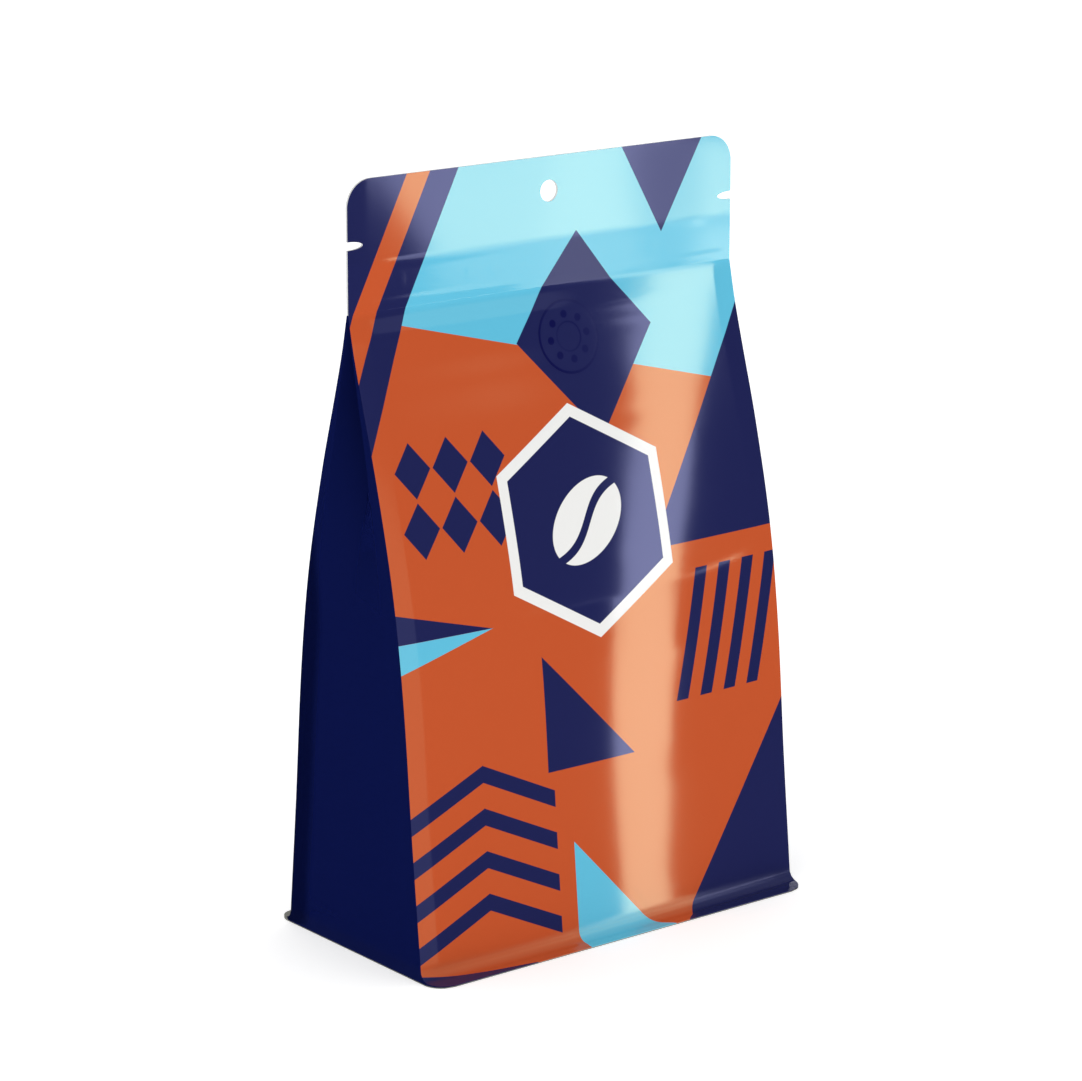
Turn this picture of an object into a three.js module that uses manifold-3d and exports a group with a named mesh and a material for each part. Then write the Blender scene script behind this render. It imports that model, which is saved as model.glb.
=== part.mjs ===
// Flat-bottom pouch of printed laminate film, filled, shut and standing upright.
// Millimetres, +Z up, the front panel faces -Y, the origin is on the floor under the middle of the base.
//
// The pouch is one closed body: four panels meet in creased and sealed edges, the front and back panels
// flare into a sealed foot, the side gussets fold inwards near the top, and above them the panels lie
// flat on each other as a header with the zip's relief, two tear notches and a hang hole.
// A round one-way degassing valve sits in the upper front panel.

import * as THREE from "three";
import Module from "manifold-3d";

const wasm = await Module();
wasm.setup();

// ---- driving sizes ----

const HEIGHT = 224.6; // floor to top edge
const HALF_WIDTH = 69.83; // middle to a side crease, the same at every height
const BASE_HALF_DEPTH = 39.7; // middle to the outer edge of the front or back foot

// The foot: front and back panels bend outwards into a thin sealed flange that lies on the floor.
const FLANGE_EDGE = 0.5; // thickness at its outer edge
const FLANGE_ROOT = 0.9; // height of its top face where the bend ends
const FOOT_BEND_RADIUS = 2.2;
const FOOT_BEND_TOP = FLANGE_ROOT + FOOT_BEND_RADIUS;
const FOOT_CORNER_RADIUS = 6.2;

// Half depth of the filled body at each height: [height, half depth].
const BODY_TOP = 184; // where the front and back panels meet
const HEADER_HALF_DEPTH = 0.5; // the film layers pressed together
const BODY_STATIONS = [
  [FOOT_BEND_TOP, 32.2],
  [12, 31.15],
  [40, 28.35],
  [80, 24.75],
  [110, 20.4],
  [140, 13.3],
  [165, 5.95],
  [176, 2.7],
  [BODY_TOP, HEADER_HALF_DEPTH + 0.1],
];

// The sealed strips along the upright creases.
const FRONT_STRIP_WIDTH = 6.3;
const SIDE_STRIP_WIDTH = 8.5;
const STRIP_FALL = 0.5; // a front or back strip slopes back by this much towards its crease
const STRIP_RUN_IN = 6; // height above the foot's bend over which the slope appears

// How far the middle of a front or back panel stands proud of its strips: [height, crown].
const CROWN_STATIONS = [
  [FOOT_BEND_TOP, 0],
  [14, 2.3],
  [55, 2.3],
  [90, 1.9],
  [137, 0.85],
  [170, 0.3],
  [BODY_TOP, 0],
];

// The inward fold of each side gusset.
const FOLD_START = 92; // height where the fold begins
const FOLD_FULL = 156; // height where it is deepest
const FOLD_DEPTH = 8.6;
const FOLD_CLOSING_HALF_DEPTH = 6.5; // it gets shallower where the body is thinner than this

// The press-to-close zip inside the header shows as two ridges on both faces.
const ZIP_RIDGES = [
  { height: 188.9, halfLength: 68, rise: 0.75, halfWidth: 1.9 },
  { height: 199.7, halfLength: 58.6, rise: 0.8, halfWidth: 2.1 },
];
const RIDGE_END_RUN = 1.2;

// Header cut-outs.
const TOP_CORNER_RADIUS = 8;
const HANG_HOLE = { x: 1, height: 214.6, radius: 3.2 };
const TEAR_NOTCH = { height: 206.3, depth: 5.2, halfOpening: 1.45 };

// The degassing valve.
const VALVE = { x: 5, height: 172.5, radius: 10.3 };
const VALVE_GAP = 0.3; // all round it and under it
const VALVE_POCKET_DEPTH = 1;
const VALVE_PROUD = 0.35; // above the panel
const VALVE_RING_GROOVE = { inner: 4.1, outer: 4.7 };
const VALVE_HOLE_RADIUS = 1.2;
const VALVE_HOLE_CIRCLE_RADIUS = 7.1;
const VALVE_HOLES = 8;
const VALVE_RELIEF_DEPTH = 0.45; // groove and holes

// ---- mesh fineness ----

const PANEL_STEPS = 6; // columns between the middle and the zip's end
const SIDE_STEPS = 5; // columns between a gusset's middle and its strip
const BEND_STEPS = 4;
const BODY_LEVEL_SPACING = 8;
const ROUND_SEGMENTS = 40;
const CORNER_SEGMENTS = 8;

// ---- small helpers ----

const clamp = THREE.MathUtils.clamp;
const smoothstep = THREE.MathUtils.smoothstep;

// A smooth bump of height 1 that reaches from middle - reach to middle + reach.
function bump(value, middle, reach) {
  const along = clamp(Math.abs(value - middle) / reach, 0, 1);
  return (1 + Math.cos(Math.PI * along)) / 2;
}

// Value of a smooth curve through [position, value] stations.
function through(stations, position) {
  let i = stations.findIndex(([end]) => position <= end);
  if (i < 0) i = stations.length - 1;
  i = Math.max(i, 1);
  const slope = (a, b) => (b[1] - a[1]) / (b[0] - a[0]);
  const [from, to] = [stations[i - 1], stations[i]];
  const before = stations[i - 2] ?? from;
  const after = stations[i + 1] ?? to;
  const run = to[0] - from[0];
  const slopeFrom = before === from ? slope(from, to) : slope(before, to);
  const slopeTo = after === to ? slope(from, to) : slope(from, after);
  const t = clamp((position - from[0]) / run, 0, 1);
  const rest = 1 - t;
  return (
    from[1] * rest * rest * (1 + 2 * t) +
    slopeFrom * run * rest * rest * t +
    to[1] * t * t * (3 - 2 * t) -
    slopeTo * run * t * t * rest
  );
}

// ---- the body's form ----

// Half depth at the upright creases.
function edgeHalfDepth(z) {
  if (z >= BODY_TOP) {
    return HEADER_HALF_DEPTH;
  }
  if (z >= FOOT_BEND_TOP) {
    return Math.max(through(BODY_STATIONS, z), HEADER_HALF_DEPTH);
  }
  if (z <= FLANGE_EDGE) {
    return BASE_HALF_DEPTH;
  }
  const down = clamp((FOOT_BEND_TOP - z) / FOOT_BEND_RADIUS, 0, 1);
  return BODY_STATIONS[0][1] + FOOT_BEND_RADIUS * (1 - Math.sqrt(1 - down * down));
}

// How far the front and back panels stand proud of their creases at x.
function panelRise(x, z) {
  const across = clamp(x / (HALF_WIDTH - FRONT_STRIP_WIDTH), -1, 1);
  const fromCrease = clamp((HALF_WIDTH - Math.abs(x)) / FRONT_STRIP_WIDTH, 0, 1);
  const offFoot = smoothstep(z, FOOT_BEND_TOP, FOOT_BEND_TOP + STRIP_RUN_IN);
  const offHeader = 1 - smoothstep(z, BODY_TOP - 8, BODY_TOP);
  let rise = STRIP_FALL * fromCrease * offFoot * offHeader;
  if (z > FOOT_BEND_TOP && z < BODY_TOP) {
    rise += through(CROWN_STATIONS, z) * (1 - across * across);
  }
  for (const ridge of ZIP_RIDGES) {
    const alongRidge = smoothstep(ridge.halfLength - Math.abs(x), 0, RIDGE_END_RUN);
    rise += ridge.rise * bump(z, ridge.height, ridge.halfWidth) * alongRidge;
  }
  return rise;
}

// How far a side gusset lies inside its creases, y from the middle.
function gussetInset(y, z) {
  const halfDepth = edgeHalfDepth(z);
  const strip = Math.min(SIDE_STRIP_WIDTH, halfDepth * 0.3);
  const inwards = clamp((halfDepth - Math.abs(y) - strip) / (halfDepth - strip), 0, 1);
  const closing = (halfDepth - HEADER_HALF_DEPTH) / (FOLD_CLOSING_HALF_DEPTH - HEADER_HALF_DEPTH);
  const depth = FOLD_DEPTH * smoothstep(z, FOLD_START, FOLD_FULL) * clamp(closing, 0, 1);
  return depth * inwards;
}

// Columns across a panel, left to right, with one at each zip end and strip.
function panelColumns() {
  const inside = HALF_WIDTH - FRONT_STRIP_WIDTH;
  const zipEnd = ZIP_RIDGES[1].halfLength;
  const right = [];
  for (let i = 1; i < PANEL_STEPS; i++) {
    right.push((i * (zipEnd - RIDGE_END_RUN)) / PANEL_STEPS);
  }
  right.push(zipEnd - RIDGE_END_RUN, zipEnd, inside, HALF_WIDTH);
  const left = right.map((x) => -x).reverse();
  return [...left, 0, ...right];
}

// Places across a gusset, -1 at one crease to 1 at the other.
function gussetColumns(halfDepth) {
  const strip = Math.min(SIDE_STRIP_WIDTH, halfDepth * 0.3);
  const stripEdge = 1 - strip / halfDepth;
  const half = [];
  for (let i = 1; i <= SIDE_STEPS; i++) {
    half.push((stripEdge * i) / SIDE_STEPS);
  }
  return [...half.map((u) => -u).reverse(), 0, ...half];
}

// The outline at one height, anticlockwise from above, starting at the front left crease.
function ringAt(z) {
  const halfDepth = edgeHalfDepth(z);
  const columns = panelColumns();
  const sides = gussetColumns(halfDepth);
  const surface = (x) => halfDepth + panelRise(x, z);
  const front = columns.map((x) => [x, -surface(x)]);
  const right = sides.map((u) => [HALF_WIDTH - gussetInset(u * halfDepth, z), u * halfDepth]);
  const back = columns.map((x) => [-x, surface(x)]);
  const left = right.map(([x, y]) => [-x, -y]);
  return [...front, ...right, ...back, ...left];
}

// Heights of the rings, from the floor to the top edge.
function ringHeights() {
  const heights = [0, FLANGE_EDGE];
  for (let i = BEND_STEPS; i >= 0; i--) {
    const down = Math.sin((i / BEND_STEPS) * (Math.PI / 2));
    heights.push(FOOT_BEND_TOP - FOOT_BEND_RADIUS * down);
  }
  const bodySteps = Math.round((BODY_TOP - FOOT_BEND_TOP) / BODY_LEVEL_SPACING);
  for (let i = 1; i < bodySteps; i++) {
    heights.push(FOOT_BEND_TOP + (i * (BODY_TOP - FOOT_BEND_TOP)) / bodySteps);
  }
  heights.push(BODY_TOP - BODY_LEVEL_SPACING / 2, BODY_TOP);
  for (const ridge of ZIP_RIDGES) {
    for (const across of [-1, -0.5, 0, 0.5, 1]) {
      heights.push(ridge.height + across * ridge.halfWidth);
    }
  }
  heights.push(HEIGHT);
  return heights;
}

// ---- solids ----

// A closed solid from rings of points stacked upwards, each end closed by a fan.
function loftedSolid(heights, ringOf) {
  const rings = heights.map(ringOf);
  const count = rings[0].length;
  const vertices = [];
  rings.forEach((ring, level) => ring.forEach(([x, y]) => vertices.push(x, y, heights[level])));
  const faces = [];
  for (let level = 0; level + 1 < rings.length; level++) {
    for (let i = 0; i < count; i++) {
      const next = (i + 1) % count;
      const [low, lowNext] = [level * count + i, level * count + next];
      const [high, highNext] = [low + count, lowNext + count];
      faces.push(low, lowNext, highNext, low, highNext, high);
    }
  }
  const bottomMiddle = vertices.length / 3;
  vertices.push(0, 0, heights[0], 0, 0, heights[heights.length - 1]);
  const topRing = (rings.length - 1) * count;
  for (let i = 0; i < count; i++) {
    const next = (i + 1) % count;
    faces.push(bottomMiddle, next, i);
    faces.push(bottomMiddle + 1, topRing + i, topRing + next);
  }
  return solidFrom(new Float32Array(vertices), new Uint32Array(faces));
}

function solidFrom(vertProperties, triVerts) {
  return new wasm.Manifold(new wasm.Mesh({ numProp: 3, vertProperties, triVerts }));
}

// A closed solid from a flat outline drawn in x and y, pushed along z from `from` to `to`.
function extrudedSolid(outline, from, to) {
  const points = outline.getPoints(CORNER_SEGMENTS);
  if (points[0].distanceTo(points[points.length - 1]) < 1e-6) {
    points.pop();
  }
  if (THREE.ShapeUtils.isClockWise(points)) {
    points.reverse();
  }
  const count = points.length;
  const vertices = [];
  for (const z of [from, to]) {
    points.forEach((point) => vertices.push(point.x, point.y, z));
  }
  const faces = [];
  for (const [a, b, c] of THREE.ShapeUtils.triangulateShape(points, [])) {
    faces.push(a, c, b, a + count, b + count, c + count);
  }
  for (let i = 0; i < count; i++) {
    const next = (i + 1) % count;
    faces.push(i, next, next + count, i, next + count, i + count);
  }
  return solidFrom(new Float32Array(vertices), new Uint32Array(faces));
}

// A disc or ring about the z axis.
function roundSolid(radius, from, to) {
  const circle = new THREE.Shape();
  for (let i = 0; i < ROUND_SEGMENTS; i++) {
    const angle = (2 * Math.PI * i) / ROUND_SEGMENTS;
    const [x, y] = [radius * Math.cos(angle), radius * Math.sin(angle)];
    if (i === 0) {
      circle.moveTo(x, y);
    } else {
      circle.lineTo(x, y);
    }
  }
  return extrudedSolid(circle, from, to);
}

// What a rounded corner takes away at (x, y), with the material towards (-toX, -toY).
function cornerTrim(x, y, toX, toY, radius, from, to) {
  const over = 1;
  const trim = new THREE.Shape();
  trim.moveTo(x - toX * radius, y + toY * over);
  trim.lineTo(x - toX * radius, y);
  for (let i = 1; i <= CORNER_SEGMENTS; i++) {
    const angle = (Math.PI / 2) * (i / CORNER_SEGMENTS);
    trim.lineTo(
      x - toX * radius * (1 - Math.sin(angle)),
      y - toY * radius * (1 - Math.cos(angle)),
    );
  }
  trim.lineTo(x + toX * over, y - toY * radius);
  trim.lineTo(x + toX * over, y + toY * over);
  return extrudedSolid(trim, from, to);
}

// Turns a solid drawn as seen from the front (x across, y up) so that y points up.
const standUp = (solid) => solid.rotate([90, 0, 0]);

const HEADER_CUT_REACH = 4; // cuts through the header run this far past its middle plane

function hangHoleCut() {
  const cut = roundSolid(HANG_HOLE.radius, -HEADER_CUT_REACH, HEADER_CUT_REACH);
  return standUp(cut).translate([HANG_HOLE.x, 0, HANG_HOLE.height]);
}

// Half an ellipse cut into the header's side edge, toX is the side.
function tearNotchCut(toX) {
  const notch = new THREE.Shape();
  const over = 1;
  const edge = toX * HALF_WIDTH;
  notch.moveTo(edge + toX * over, -TEAR_NOTCH.halfOpening);
  for (let i = 0; i <= CORNER_SEGMENTS; i++) {
    const angle = Math.PI * (i / CORNER_SEGMENTS);
    notch.lineTo(
      edge - toX * TEAR_NOTCH.depth * Math.sin(angle),
      -TEAR_NOTCH.halfOpening * Math.cos(angle),
    );
  }
  notch.lineTo(edge + toX * over, TEAR_NOTCH.halfOpening);
  const cut = extrudedSolid(notch, -HEADER_CUT_REACH, HEADER_CUT_REACH);
  return standUp(cut).translate([0, 0, TEAR_NOTCH.height]);
}

// Turns and moves a solid drawn about the z axis onto the valve's place on the front panel.
function atValve(solid) {
  const surface = (z) => edgeHalfDepth(z) + panelRise(VALVE.x, z);
  const reach = VALVE.radius * 0.8;
  const [low, high] = [VALVE.height - reach, VALVE.height + reach];
  const tilt = THREE.MathUtils.radToDeg(Math.atan2(surface(low) - surface(high), high - low));
  const middle = (surface(low) + surface(high)) / 2;
  return solid.rotate([90 - tilt, 0, 0]).translate([VALVE.x, -middle, VALVE.height]);
}

function valvePocket() {
  const over = 3;
  return atValve(roundSolid(VALVE.radius + VALVE_GAP, -VALVE_POCKET_DEPTH, over));
}

function valveSolid() {
  const [floor, face] = [VALVE_GAP - VALVE_POCKET_DEPTH, VALVE_PROUD];
  const reliefFloor = face - VALVE_RELIEF_DEPTH;
  const over = 1;
  const grooveOuter = roundSolid(VALVE_RING_GROOVE.outer, reliefFloor, face + over);
  const grooveInner = roundSolid(VALVE_RING_GROOVE.inner, reliefFloor - over, face + 2 * over);
  let valve = roundSolid(VALVE.radius, floor, face).subtract(grooveOuter.subtract(grooveInner));
  for (let i = 0; i < VALVE_HOLES; i++) {
    const angle = (2 * Math.PI * i) / VALVE_HOLES;
    const hole = roundSolid(VALVE_HOLE_RADIUS, reliefFloor, face + over).translate([
      VALVE_HOLE_CIRCLE_RADIUS * Math.cos(angle),
      VALVE_HOLE_CIRCLE_RADIUS * Math.sin(angle),
      0,
    ]);
    valve = valve.subtract(hole);
  }
  return atValve(valve);
}

function pouchSolid() {
  let pouch = loftedSolid(ringHeights(), ringAt);
  for (const toX of [-1, 1]) {
    const edge = toX * HALF_WIDTH;
    const topTrim = cornerTrim(
      edge, HEIGHT, toX, 1, TOP_CORNER_RADIUS, -HEADER_CUT_REACH, HEADER_CUT_REACH,
    );
    pouch = pouch.subtract(standUp(topTrim));
    for (const toY of [-1, 1]) {
      const footTrim = cornerTrim(
        edge, toY * BASE_HALF_DEPTH, toX, toY, FOOT_CORNER_RADIUS, -1, FOOT_BEND_TOP + 1,
      );
      pouch = pouch.subtract(footTrim);
    }
    pouch = pouch.subtract(tearNotchCut(toX));
  }
  return pouch.subtract(hangHoleCut()).subtract(valvePocket());
}

// ---- the scene graph ----

function meshOf(name, solid, material) {
  const { numProp, vertProperties, triVerts } = solid.getMesh();
  const position = new Float32Array((vertProperties.length / numProp) * 3);
  for (let i = 0; i < position.length / 3; i++) {
    position.set(vertProperties.subarray(i * numProp, i * numProp + 3), i * 3);
  }
  const geometry = new THREE.BufferGeometry();
  geometry.setAttribute("position", new THREE.BufferAttribute(position, 3));
  geometry.setIndex(new THREE.BufferAttribute(triVerts, 1));
  geometry.computeVertexNormals();
  const mesh = new THREE.Mesh(geometry, material);
  mesh.name = name;
  return mesh;
}

const printedFilm = new THREE.MeshStandardMaterial({
  name: "matt printed film",
  color: 0xc85a33,
  roughness: 0.42,
  metalness: 0,
});
const valvePlastic = new THREE.MeshStandardMaterial({
  name: "valve plastic",
  color: 0x20234f,
  roughness: 0.45,
  metalness: 0,
});

const flatBottomPouch = new THREE.Group();
flatBottomPouch.add(meshOf("pouch_body", pouchSolid(), printedFilm));
flatBottomPouch.add(meshOf("degassing_valve", valveSolid(), valvePlastic));

export default flatBottomPouch;
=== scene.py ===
"""Looks of a filled flat-bottom pouch of printed satin film, with a zip header and a round valve.

Sizes are in millimetres and become metres where a mesh is made. The front panel faces -Y, +Z is up.
"""

import math

import bpy
import numpy as np
from mathutils import Matrix, Vector


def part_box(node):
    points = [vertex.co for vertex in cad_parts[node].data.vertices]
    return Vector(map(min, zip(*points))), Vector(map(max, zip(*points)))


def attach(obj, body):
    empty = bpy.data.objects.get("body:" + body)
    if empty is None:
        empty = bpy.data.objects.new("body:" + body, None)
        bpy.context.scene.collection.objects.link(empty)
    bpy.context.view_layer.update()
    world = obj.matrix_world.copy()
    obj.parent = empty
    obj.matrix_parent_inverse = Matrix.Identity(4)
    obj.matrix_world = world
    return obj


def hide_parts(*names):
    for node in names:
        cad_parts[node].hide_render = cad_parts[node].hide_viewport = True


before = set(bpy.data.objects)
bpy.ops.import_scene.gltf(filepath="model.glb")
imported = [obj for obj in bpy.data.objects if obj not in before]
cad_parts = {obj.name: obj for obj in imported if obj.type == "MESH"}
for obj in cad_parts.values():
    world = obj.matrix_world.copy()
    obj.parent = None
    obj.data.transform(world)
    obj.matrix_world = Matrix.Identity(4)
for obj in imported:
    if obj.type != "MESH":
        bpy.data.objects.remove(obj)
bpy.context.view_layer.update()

MM = 0.001

# ---- sizes taken from the frame ----

BODY_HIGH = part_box("pouch_body")[1] / MM
VALVE_LOW, VALVE_HIGH = (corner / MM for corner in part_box("degassing_valve"))
HEIGHT = BODY_HIGH.z
HALF_WIDTH = BODY_HIGH.x
BASE_HALF_DEPTH = BODY_HIGH.y
VALVE_X = (VALVE_LOW.x + VALVE_HIGH.x) / 2
VALVE_Z = (VALVE_LOW.z + VALVE_HIGH.z) / 2
VALVE_RADIUS = (VALVE_HIGH.x - VALVE_LOW.x) / 2

# ---- sizes of the film's form ----

BOTTOM_FILM = 0.28  # thickness of the base film, which shows as a grey line under the foot
FLANGE_EDGE = 0.5  # thickness of the foot's flange at its outer edge
FLANGE_ROOT = 0.9  # height of its top face where the bend ends
FOOT_BEND_RADIUS = 3.2
FOOT_BEND_TOP = FLANGE_ROOT + FOOT_BEND_RADIUS
FOOT_CORNER_RADIUS = 6.2
BASE_SEAL_WIDTH = 6.5  # the base film is welded to the foot along this frame
BASE_RECESS = 0.5  # inside the frame it is drawn up by this much
BASE_RECESS_RUN = 2  # over this width
FOIL_CORNER = (60, 34)  # x and y beyond which the back of the foot shows the bare foil side
FOIL_TOP = FLANGE_ROOT + 0.1

BODY_TOP = 187  # where the front and back panels meet
HEADER_HALF_DEPTH = 0.35
BODY_STATIONS = [  # height, half depth at the creases
    (FOOT_BEND_TOP, 31.95),
    (12, 31.15),
    (40, 28.35),
    (80, 24.75),
    (110, 20.4),
    (140, 13.3),
    (165, 5.95),
    (176, 2.85),
    (BODY_TOP, HEADER_HALF_DEPTH),
]
CROWN_STATIONS = [  # height, how far the middle of a panel stands proud of its edges
    (FOOT_BEND_TOP, 1.53),
    (14, 1.62),
    (55, 2.0),
    (90, 1.9),
    (137, 0.85),
    (170, 0.3),
    (BODY_TOP, 0),
]

# The sealed strips along the upright creases.
FRONT_STRIP_WIDTH = 6.3
STRIP_FALL = 0.5  # a panel's strip slopes back by this much towards the crease
STRIP_LOSS = 0.9  # the share of the slope that is lost below the header
STRIP_LOSS_RUN = 8  # over this height
SIDE_STRIP_WIDTH = 8.5
SIDE_STRIP_SHARE = 0.3  # a gusset's strip takes up no more of the half depth than this
SIDE_STRIP_FALL = 0.3
SIDE_STRIP_RUN_IN = (1, 8)  # heights above the foot's bend between which its slope appears
SIDE_STRIP_RUN_OUT = (120, 160)  # heights between which the slope goes again

# The faint slack of the filled film, in waves. A wave moves on by one radian over each length.
SLACK_RISE = 0.025
SLACK_ACROSS = 9.1
SLACK_SLANT = 23
SLACK_UP = 13.7
SLACK_PHASE = 1
SLACK_RUN_IN = 30  # height above the foot's bend over which the slack appears

# The inward fold of each gusset.
FOLD_START = 92
FOLD_FULL = 156
FOLD_DEPTH = 8.6
FOLD_CLOSING_HALF_DEPTH = 6.5  # it gets shallower where the body is thinner than this

ZIP_RIDGES = [(189.4, 69), (200.3, 62)]  # height, half length
RIDGE_RISE = 0.03
RIDGE_UPPER_FLANK = 1.6
RIDGE_LOWER_FLANK = 2.8
RIDGE_END_RUN = 7
ZIP_PIPS = 11  # short upright marks that the zip's crush welds leave between the ridges
PIP_SPAN = (-52, 56)
PIP_SEED = 7
PIP_RISE = 0.02
PIP_HALF_WIDTH = 1.1
PIP_HALF_HEIGHT = 4

TOP_CORNER_RADIUS = 8
HANG_HOLE = (1, 214.6, 3.15)  # x, height, radius
TEAR_NOTCH = (206.3, 5.2, 1.2)  # height, depth, half opening
HEADER_CUT_REACH = 4  # cuts through the header run this far past its middle plane

VALVE_GAP = 0.3  # all round it and under it
VALVE_POCKET_DEPTH = 1
VALVE_POCKET_REACH = 3  # the pocket's cut runs this far past the panel
VALVE_LEAN_REACH = 0.8  # share of its radius above and below its middle that gives the panel's lean
VALVE_PROUD = 0.062
VALVE_EDGE_RUN = 1  # width inside its radius from which the face slopes down
VALVE_LIP = (0.25, 0.03, 0.06)  # reach past the pocket, its underside and its top above the panel
VALVE_RING = (0.415, 0.45)  # radius as a share of the valve's, half width
VALVE_RIM_LINE = 0.85  # width of the line along the lip's edge
VALVE_RIM_RUN = 0.25  # width over which the line appears
VALVE_HOLES = 8
VALVE_HOLE_CIRCLE = 0.645  # radius as a share of the valve's
VALVE_HOLE_RADIUS = 1.2
VALVE_HOLE_EDGE = (0.2, 0.1)  # how far inside and outside its radius a hole's edge softens
VALVE_TURN = math.radians(5)
# Painted shade in the valve's ring, along its rim and in its holes, deeper on one side as if lit from
# the other.
RING_SHADE = (0.85, 30, 0.4)  # painted shade: strength, angle in degrees where it is deepest, share opposite
RIM_SHADE = (0.95, 205, 0.15)
HOLE_SHADE = (1, 160, 0.5)
PRESSED_DEPTH = 0.003

# ---- mesh fineness ----

FLANGE_LEVELS = 9
BEND_LEVELS = 19
BODY_LEVELS = 146
ZIP_LEVEL_SPACING = 0.2
ZIP_MARGIN = 0.4  # the close levels end this far above the zip's upper flank
HEADER_FIRST_STEP = 0.5  # and the wide ones begin this far above them
HEADER_LEVELS = 14
TOP_CORNER_LEVELS = 15
PANEL_COLUMNS = 107
STRIP_COLUMNS = 9
GUSSET_COLUMNS = 35
SIDE_STRIP_COLUMNS = 12
SQUEEZED_FROM = 58  # columns further out than this close up where a corner is rounded
NOTCH_POINTS = 25
POCKET_SEGMENTS = 96
VALVE_SEGMENTS = 192
VALVE_RINGS = 66

# ---- small helpers ----


def bump(value, middle, reach):
    """A smooth bump of height 1 from middle - reach to middle + reach."""
    return (1 + np.cos(np.pi * np.clip(np.abs(value - middle) / reach, 0, 1))) / 2


def smoothstep(value, low, high):
    """A smooth rise from 0 at low to 1 at high."""
    t = np.clip((value - low) / (high - low), 0, 1)
    return t * t * (3 - 2 * t)


def through(stations, position):
    """Value of a smooth curve through (position, value) stations."""
    places, values = np.array(stations, float).T
    i = np.clip(np.searchsorted(places, position), 1, len(places) - 1)
    slopes = np.empty_like(values)
    slopes[1:-1] = (values[2:] - values[:-2]) / (places[2:] - places[:-2])
    slopes[0] = (values[1] - values[0]) / (places[1] - places[0])
    slopes[-1] = (values[-1] - values[-2]) / (places[-1] - places[-2])
    run = places[i] - places[i - 1]
    t = np.clip((position - places[i - 1]) / run, 0, 1)
    rest = 1 - t
    return (
        values[i - 1] * rest * rest * (1 + 2 * t)
        + slopes[i - 1] * run * rest * rest * t
        + values[i] * t * t * (3 - 2 * t)
        - slopes[i] * run * t * t * rest
    )


def srgb(code):
    """Linear colour from an sRGB hex value."""
    parts = [int(code[i:i + 2], 16) / 255 for i in (0, 2, 4)]
    return [p / 12.92 if p <= 0.04045 else ((p + 0.055) / 1.055) ** 2.4 for p in parts] + [1]


def times(colour, share):
    """A linear colour made lighter or deeper by a share."""
    return [part * share for part in colour[:3]] + [1]


# ---- the film's form ----

PIP_PLACES = np.random.default_rng(PIP_SEED).uniform(*PIP_SPAN, ZIP_PIPS)


def edge_half_depth(z):
    """Half depth of the body and the header at their edges, above the foot's bend."""
    return np.where(z >= BODY_TOP, HEADER_HALF_DEPTH, through(BODY_STATIONS, z))


def zip_relief(x, z):
    """How far the zip's two ridges and the weld marks between them stand out."""
    rise = 0
    for height, half_length in ZIP_RIDGES:
        along = smoothstep(half_length - np.abs(x), 0, RIDGE_END_RUN)
        flank = np.where(z > height, RIDGE_UPPER_FLANK, RIDGE_LOWER_FLANK)
        rise = rise + RIDGE_RISE * bump(z, height, flank) * along
    between = bump(z, (ZIP_RIDGES[0][0] + ZIP_RIDGES[1][0]) / 2, PIP_HALF_HEIGHT)
    for place in PIP_PLACES:
        rise = rise + PIP_RISE * bump(x, place, PIP_HALF_WIDTH) * between
    return rise


def panel_rise(x, z):
    """How far the front and back panels stand proud of their creases."""
    across = np.clip(x / (HALF_WIDTH - FRONT_STRIP_WIDTH), -1, 1)
    off_flange = smoothstep(z, FLANGE_EDGE, FLANGE_ROOT)
    crown = through(CROWN_STATIONS, z) * off_flange * (z < BODY_TOP) * (1 - across * across)
    strip = STRIP_FALL * np.clip((HALF_WIDTH - np.abs(x)) / FRONT_STRIP_WIDTH, 0, 1) * off_flange
    strip = strip * (1 - STRIP_LOSS * smoothstep(z, BODY_TOP - STRIP_LOSS_RUN, BODY_TOP))
    off_foot = smoothstep(z, FOOT_BEND_TOP, FOOT_BEND_TOP + SLACK_RUN_IN)
    waves = np.sin(x / SLACK_ACROSS + z / SLACK_SLANT) * np.sin(z / SLACK_UP + SLACK_PHASE)
    slack = SLACK_RISE * waves * off_foot * (1 - across ** 4)
    return crown + strip + slack + zip_relief(x, z)


def side_strip_width(half_depth):
    """Width of a gusset's sealed strip, which narrows with the body."""
    return np.minimum(SIDE_STRIP_WIDTH, half_depth * SIDE_STRIP_SHARE)


def gusset_inset(y, z, half_depth):
    """How far a side gusset lies inside its creases."""
    strip = side_strip_width(half_depth)
    from_crease = half_depth - np.abs(y)
    inwards = np.clip((from_crease - strip) / (half_depth - strip), 0, 1)
    closing = (half_depth - HEADER_HALF_DEPTH) / (FOLD_CLOSING_HALF_DEPTH - HEADER_HALF_DEPTH)
    closing = np.clip(closing, 0, 1)
    fold = FOLD_DEPTH * smoothstep(z, FOLD_START, FOLD_FULL) * closing * inwards
    start, full = SIDE_STRIP_RUN_IN
    off_foot = smoothstep(z, FOOT_BEND_TOP + start, FOOT_BEND_TOP + full)
    slope = off_foot * (1 - smoothstep(z, *SIDE_STRIP_RUN_OUT))
    return fold - SIDE_STRIP_FALL * smoothstep(from_crease, 0, strip) * closing * slope


def corner_half_width(y, z):
    """Half width where the foot's and the header's corners are rounded."""
    foot = np.clip(np.abs(y) - (BASE_HALF_DEPTH - FOOT_CORNER_RADIUS), 0, FOOT_CORNER_RADIUS)
    head = np.clip(z - (HEIGHT - TOP_CORNER_RADIUS), 0, TOP_CORNER_RADIUS)
    foot_cut = FOOT_CORNER_RADIUS - np.sqrt(FOOT_CORNER_RADIUS ** 2 - foot ** 2)
    head_cut = TOP_CORNER_RADIUS - np.sqrt(TOP_CORNER_RADIUS ** 2 - head ** 2)
    return HALF_WIDTH - foot_cut - head_cut


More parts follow.
